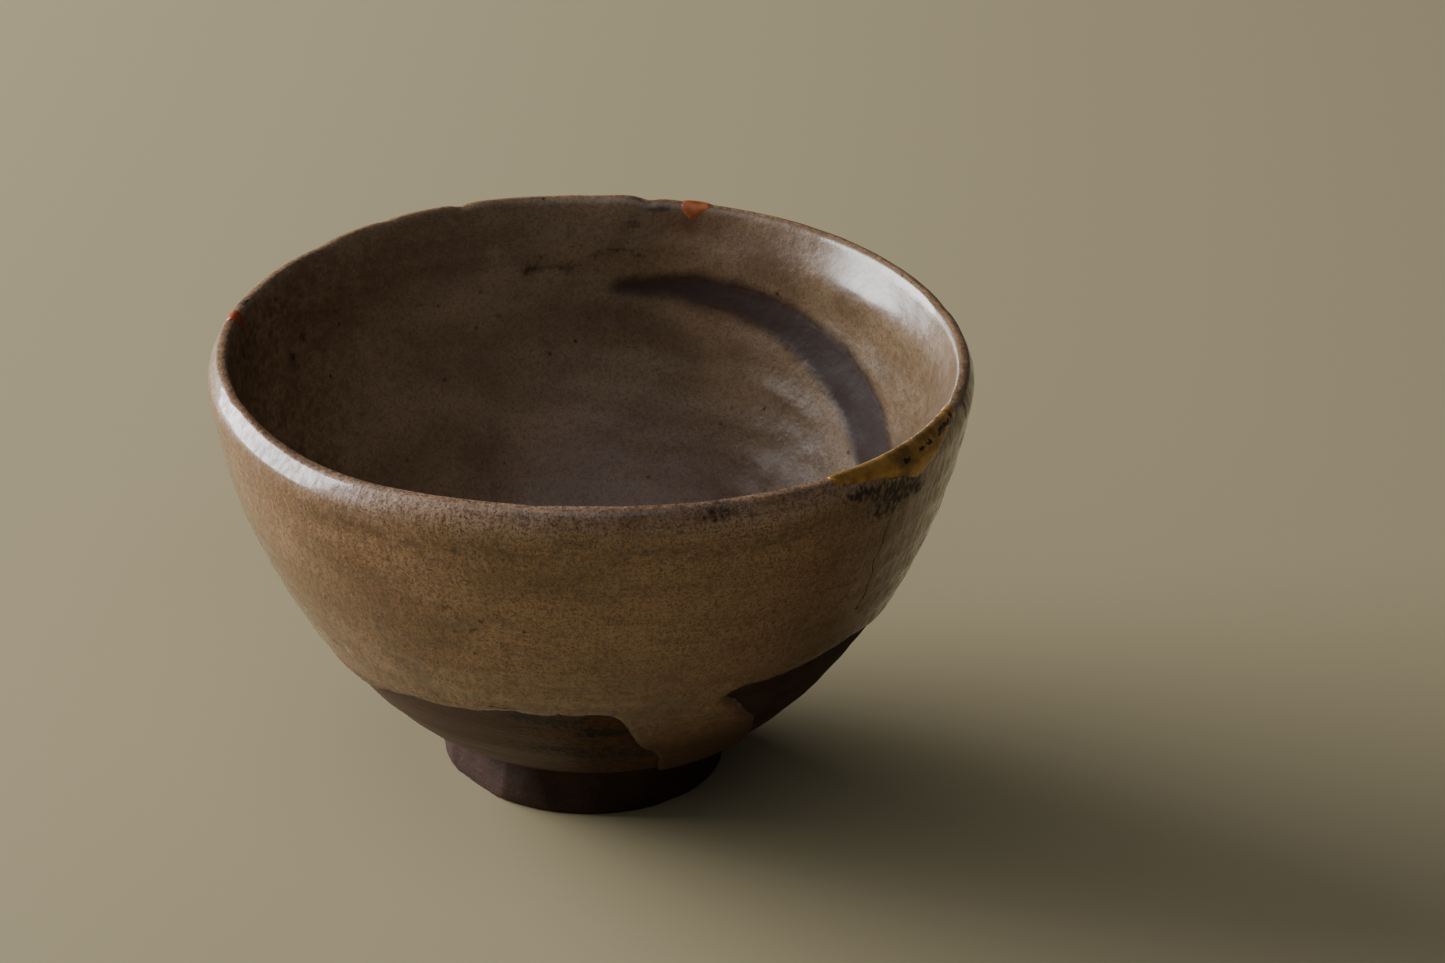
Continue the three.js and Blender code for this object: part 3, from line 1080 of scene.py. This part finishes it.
@dataclass
class InnerCoat(Coat):
    """The inside coat, which thins away over a crescent at the back right."""

    name: str = "inner_glaze_coat"
    slot: Slot = Slot.INNER_GLAZE
    nodes: tuple[str, ...] = ("inner_glaze",)
    glaze: GlazeFinish = GlazeFinish(
        "brown_ash_glaze", "92785a", "6f573e", "8b6a52", "38261a", under="2d1712", roughness=(0.3, 0.42),
        dusting=0.4, lines=0.15, flecking=0.2, coat=0.17,
    )
    seam: float = 59.1
    seam_way: int = 1
    rounding: float = 4.2
    wash: float = 1.6
    first: float = 9.1
    last: float = 18.0
    bare: Outline = Outline(50.0, (
        (38.0, 58.4), (22.0, 62.0), (8.0, 60.6), (-10.0, 57.2), (-24.0, 51.5), (-32.0, 44.0), (-33.5, 38.0),
        (-29.0, 37.5), (-20.0, 43.5), (-9.0, 50.0), (6.0, 55.4), (22.0, 58.4),
    ), 3)
    stains: tuple[Mark, ...] = marks(
        (103.4, 61.6, 1.6, 1.3, 0.8), (99.6, 62.0, 3.0, 0.8, 0.55), (96.4, 61.4, 1.3, 1.4, 0.55),
        (88.6, 65.0, 3.0, 0.6, 0.7, -6.0), (84.2, 64.4, 1.8, 0.7, 0.6, 20.0), (91.6, 63.8, 0.7, 1.3, 0.5),
        (85.5, 69.5, 2.5, 0.7, 0.7), (151.4, 61.7, 0.9, 1.2, 1.6), (155.8, 59.5, 0.8, 1.6, 1.3),
        (169.5, 68.6, 2.5, 1.2, 0.5), (81.5, 72.3, 3.2, 0.8, 0.8), (114.6, 28.6, 4.0, 2.0, 0.4),
        (99.4, 48.6, 3.0, 3.0, 0.35, 40.0), (140.0, 52.0, 6.0, 1.2, 0.3), (-120.0, 55.0, 2.0, 1.0, 0.5),
        (-30.0, 60.0, 4.0, 1.2, 0.5), (-75.0, 40.0, 3.0, 2.0, 0.4),
    )
    halo: Mark = Mark(75.6, 70.6, 2.8, 1.8, 0.9)

    def coverage(self, places: Places) -> Array:
        """How far inside the coat's edge each place is. The coat is only a wash over the crescent."""
        return np.maximum(-self.bare.inside(places) + 2.2 + 0.8 * self.edge_wobble(places), self.wash)

    def layers(self, places: Places, cover: Array) -> dict[str, Array]:
        """What the glaze finish needs to know at each place."""
        radius, height = places.radius, places.height
        well = fall(radius, 22.0, 44.0) * (height < 40)
        # Painted shade: the inner right wall under the lip's highlight is darkened through the iron layer.
        right_wall_shade = 0.5 * places.facing(12.0, 34.0) * bell(height, 58.0, 9.0)
        wiped = places.facing(30.0, 55.0) * ease(height, 50.0, 62.0)
        dull = 0.85 * (1.0 - wiped) * (1.0 - 0.5 * well)
        # Painted shade: the inner left wall, turned away from the window, is darkened through the iron
        # layer.
        shade = 0.9 * places.facing(-170.0, 48.0) * ease(height, 22.0, 46.0)
        return {
            "thin_glaze_and_shade": 0.95 * fall(cover, 1.8, 4.4),
            "matt": np.maximum(fall(cover, 1.8, 4.0), dull),
            # Painted sheen: the floor of the well is laid paler, standing in for the soft reflection of the
            # ceiling there.
            "pale_and_sheen": 0.45 * well,
            "lip": self.lip_shade(places) + self.halo.weigh(places),
            "stain": covered(self.stains, places),
            "iron_and_shade": np.clip(0.1 * well + shade + right_wall_shade + 0.25 * bell(height, 68.0, 2.5), 0, 1),
        }


@dataclass
class LipFill(Piece):
    """Lacquer that makes good a loss in the lip: a smooth lens over both sides of it.

    It is cut from a stretch of the skin, as far to either side of its azimuth as its reach in degrees. It
    stands proud in its middle, is sunk at its edge, and its dome says how far in from the edge it rises.
    """

    name: str
    slot: Slot
    nodes: tuple[str, ...]
    outline: Outline
    finish: LacquerFinish
    reach: float
    stretch: tuple[float, float] = (6.0, 12.5)
    proud: float = 0.25
    sunk: float = 0.12
    dome: float = 2.2
    spacing: float = 0.4
    wobble: float = 0.25
    shell: float = 1.1
    mouth_radius: float = 60.0
    worn: tuple[Mark, ...] = ()

    def edge(self, points: Array) -> Array:
        """How far inside the fill's edge each point is."""
        places = FORM.places(points)
        return self.outline.inside(places) + self.wobble * mottle(points, 1.8, 31.0)

    def build(self) -> Object:
        """Makes the fill and dresses it."""
        line = FORM.skin.line(0.0, *self.stretch, self.spacing)
        sweep = 2 * self.reach
        around = round(math.radians(sweep) * self.mouth_radius / self.spacing)
        bm = spun(line, around, self.outline.azimuth - self.reach, sweep)
        trim(bm, self.edge)
        loose = [vert for vert in bm.verts if not vert.link_faces]
        bmesh.ops.delete(bm, geom=loose, context="VERTS")
        points = points_of(bm)
        places = FORM.places(points)
        cover = np.maximum(self.edge(points), 0.0)
        share = np.clip(cover / self.dome, 0.0, 1.0)
        proud = (self.proud + self.sunk) * np.sqrt(1.0 - (1.0 - share) ** 2) - self.sunk
        settled = FORM.settle(places, proud + 0.05 * mottle(points, 2.5, 33.0))
        place_vertices(bm, settled)
        piece = shell_object(self.name, bm, self.shell)
        edges = 0.25 * fall(cover, 0.0, 0.9)
        paint(piece, {"worn": np.clip(edges + covered(self.worn, places), 0, 1)})
        return self.hand_over(piece, self.finish.make())


@dataclass
class CrackSeam(Piece):
    """Dark lacquer in the hairline crack under the front fill, which its (across, height) path follows."""

    name: str = "crack_lacquer"
    slot: Slot = Slot.DARK
    nodes: tuple[str, ...] = ("crack_seam",)
    azimuth: float = bearing("crack_seam")
    half_width: float = 0.15
    jitter: float = 0.35
    thickness: float = 0.5
    proud: float = 0.1
    sunk: float = 0.03
    steps: int = 90
    path: Pairs = (
        (1.4, 68.4), (1.0, 67.2), (-0.6, 64.0), (-1.2, 59.0), (-1.7, 55.5), (-0.4, 48.5), (-0.9, 45.5),
    )

    def build(self) -> Object:
        """Makes the seam and dresses it."""
        bm = bmesh.new()
        bmesh.ops.create_grid(bm, x_segments=self.steps, y_segments=4, size=1.0)
        flat = points_of(bm)
        along = (1.0 - flat[:, 0]) / 2.0
        stops = np.linspace(0.0, 1.0, len(self.path))
        across = np.interp(along, stops, [across for across, _ in self.path])
        height = np.interp(along, stops, [height for _, height in self.path])
        width = self.half_width * (1.0 - 0.6 * along) * (1.0 - ease(np.abs(along - 0.5), 0.44, 0.5))
        wander = mottle(np.stack([along * 40, along * 0, along * 0], axis=1), 2.0, 41.0)
        across = across + flat[:, 1] * width + self.jitter * wander
        radius = np.interp(height, FORM.outer[:, 0], FORM.outer[:, 1])
        azimuth = math.radians(self.azimuth) + np.arcsin(across / radius)
        points = np.stack([radius * np.cos(azimuth), radius * np.sin(azimuth), height], axis=1)
        places = FORM.places(points)
        settled = FORM.settle(places, self.proud * (1.0 - flat[:, 1] ** 2) - self.sunk)
        place_vertices(bm, settled)
        bmesh.ops.recalc_face_normals(bm, faces=bm.faces)
        outward = ray(self.azimuth)
        bm.normal_update()
        if sum(face.normal @ outward for face in bm.faces) < 0:
            bmesh.ops.reverse_faces(bm, faces=bm.faces)
        piece = shell_object(self.name, bm, self.thickness)
        paint(piece, {"worn": np.zeros(len(points))})
        finish = LacquerFinish("crack_lacquer", "46301c", "2a1a0f", "5a3c22")
        return self.hand_over(piece, finish.make())


# The room.


@dataclass(frozen=True)
class Lamp:
    """A soft rectangular light, aimed at the middle of the bowl.

    Fields: its name, azimuth, elevation and distance in metres, its width and height, power and colour.
    """

    name: str
    azimuth: float
    elevation: float
    distance: float
    size: tuple[float, float]
    power: float
    colour: tuple[float, float, float]

    def hang(self, target: Vector) -> None:
        """Puts the light in place."""
        light = bpy.data.lights.new(self.name, "AREA")
        light.shape = "RECTANGLE"
        light.size, light.size_y = self.size
        light.energy = self.power
        light.color = self.colour
        lamp = show(self.name, light)
        away = ray(self.azimuth, self.elevation)
        lamp.location = target + away * self.distance
        lamp.rotation_euler = away.to_track_quat("Z", "Y").to_euler()


@dataclass
class Studio:
    """The floor, the lights and the camera, with lengths in metres."""

    floor_colour: str = "ac9d77"
    floor_half: float = 4.0
    sky: tuple[float, float, float, float] = (0.85, 0.88, 0.93, 1.0)
    sky_strength: float = 0.07
    camera_place: tuple[float, float, float] = (0.021122, -0.738091, 0.418044)
    pitch: float = 26.5
    roll: float = 2.436
    lens: float = 127.15
    lamps: tuple[Lamp, ...] = (
        Lamp("window", 161.0, 17.0, 1.5, (1.35, 0.9), 56.0, (0.93, 0.96, 1.0)),
        Lamp("ceiling", -112.0, 60.0, 2.2, (3.0, 2.2), 13.5, (0.84, 0.9, 1.0)),
    )

    def lay_floor(self) -> None:
        """Makes the floor."""
        bm = bmesh.new()
        bmesh.ops.create_grid(bm, x_segments=1, y_segments=1, size=self.floor_half)
        floor = shell_object("floor", bm)
        floor.data.materials.append(Brush("pale_floor", self.floor_colour).finish(0.9))

    def light(self) -> None:
        """Hangs the lamps and sets the sky."""
        for lamp in self.lamps:
            lamp.hang(CAD_MIDDLE * MILLIMETRE)
        world = bpy.data.worlds.new("studio")
        world.use_nodes = True
        world.node_tree.nodes["Background"].inputs["Color"].default_value = self.sky
        world.node_tree.nodes["Background"].inputs["Strength"].default_value = self.sky_strength
        bpy.context.scene.world = world

    def aim_camera(self) -> None:
        """Sets up the camera."""
        pitch, roll = math.radians(self.pitch), math.radians(self.roll)
        ahead = Vector((0.0, math.cos(pitch), -math.sin(pitch)))
        up = Vector((0.0, math.sin(pitch), math.cos(pitch)))
        right = Vector((1.0, 0.0, 0.0))
        side = math.cos(roll) * right + math.sin(roll) * up
        top = -math.sin(roll) * right + math.cos(roll) * up
        camera = bpy.data.cameras.new("camera")
        camera.lens = self.lens
        camera.sensor_width = 36.0
        camera.clip_start = 0.01
        eye = show("camera", camera)
        turned = Matrix((side, top, -ahead)).transposed().to_4x4()
        eye.matrix_world = Matrix.Translation(self.camera_place) @ turned
        bpy.context.scene.camera = eye


ABOVE_LIP = 80.0
REPAIRS = (
    LipFill(
        "front_fill_paste", Slot.PASTE, ("front_fill_core",),
        Outline(bearing("front_fill_gold"), (
            (-18.6, ABOVE_LIP), (-17.4, 72.9), (-10.0, 71.4), (-4.0, 70.0), (1.0, 67.9), (6.3, 69.3),
            (11.1, 71.4), (16.4, 72.9), (17.6, ABOVE_LIP),
        )),
        LacquerFinish("lacquer_paste", "34200f", "1c110a", "4a2f18"), 24.0, proud=0.05, sunk=0.15, dome=1.6,
    ),
    LipFill(
        "front_fill_gold_coat", Slot.GOLD, ("front_fill_gold",),
        Outline(bearing("front_fill_gold"), (
            (-19.0, ABOVE_LIP), (-17.5, 73.0), (-10.0, 71.8), (-4.0, 70.4), (1.0, 68.4), (6.0, 69.8),
            (11.0, 71.8), (16.5, 73.0), (18.0, ABOVE_LIP),
        )),
        LacquerFinish(
            "worn_gold", "c99448", "84602c", "2e1b0b", metallic=0.4, roughness=(0.2, 0.34), wear=0.55,
        ),
        24.0, proud=0.3, sunk=0.1, dome=2.4,
        worn=marks(
            (-36.0, 72.6, 3.0, 0.5, 0.85), (-29.0, 73.1, 4.4, 0.55, 1.0), (-21.0, 73.4, 4.0, 0.6, 1.0),
        ),
    ),
    LipFill(
        "back_fill_red", Slot.RED, ("back_fill",),
        Outline(bearing("back_fill"), (
            (-3.0, ABOVE_LIP), (-2.6, 73.0), (-1.4, 71.6), (0.6, 70.8), (2.0, 72.0), (2.8, ABOVE_LIP),
        )),
        LacquerFinish("red_lacquer_back", "b4662f", "84401c", "3a1a0c", wear=0.3), 6.0,
        proud=0.14, sunk=0.14, dome=1.6, spacing=0.25, wobble=0.6,
    ),
    LipFill(
        "left_fill_red", Slot.RED, ("left_fill",),
        Outline(bearing("left_fill"), (
            (-1.9, ABOVE_LIP), (-1.5, 72.6), (0.0, 71.6), (1.5, 72.4), (2.0, ABOVE_LIP),
        )),
        LacquerFinish("red_lacquer_left", "a8481c", "7a3012", "2a1008", wear=0.45), 4.0,
        proud=0.2, sunk=0.1, dome=0.9, spacing=0.2,
    ),
)


def main() -> None:
    """Builds the studio and the bowl."""
    logging.basicConfig(level=logging.INFO, format="%(name)s %(message)s")
    studio = Studio()
    studio.aim_camera()
    studio.lay_floor()
    studio.light()
    for part in (ClayBody(), OuterCoat(), InnerCoat(), *REPAIRS, CrackSeam()):
        part.build()


if __name__ == "__main__":
    main()
